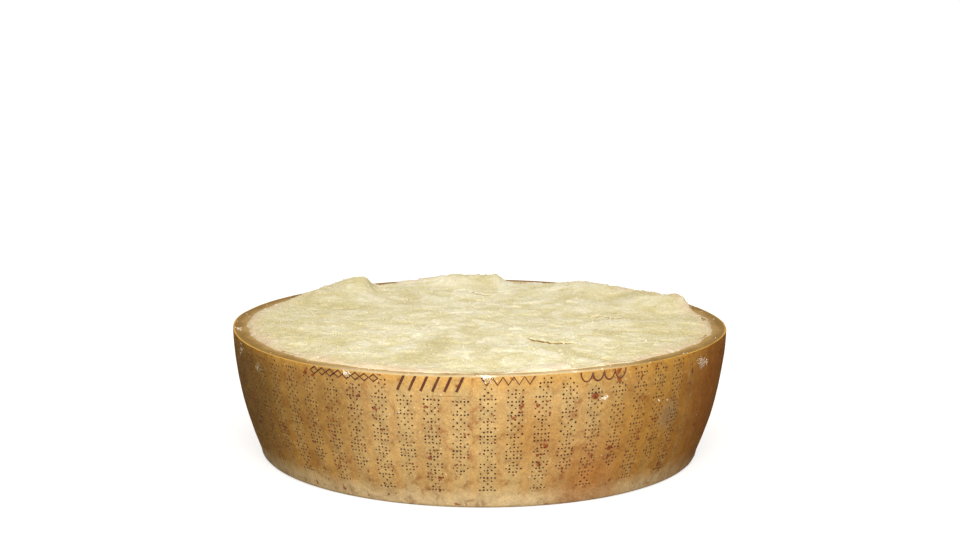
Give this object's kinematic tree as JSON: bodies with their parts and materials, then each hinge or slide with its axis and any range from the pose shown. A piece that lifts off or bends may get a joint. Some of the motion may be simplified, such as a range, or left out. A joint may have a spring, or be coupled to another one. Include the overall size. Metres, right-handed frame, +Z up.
{
  "type": "half cheese wheel",
  "caption": "Lower half of a large wheel of hard grating cheese, split level, with a rough broken face inside a smooth scored ring and a pin-dotted rind.",
  "frame": {"origin": "centre of the round flat base, on the surface the half wheel stands on", "axes": "+Z up along the wheel's axis, from the base to the broken face; -Y is the front of the picture's view; +X to the viewer's right"},
  "size_m": [0.44, 0.44, 0.1273],
  "materials": {
    "rind": "waxy, satin, darker and drier towards the back, with pressed pin dots",
    "paste": "matt, grainy and flaky where it broke"
  },
  "bodies": {
    "root": {"half_wheel": "rind"}
  },
  "joints": []
}
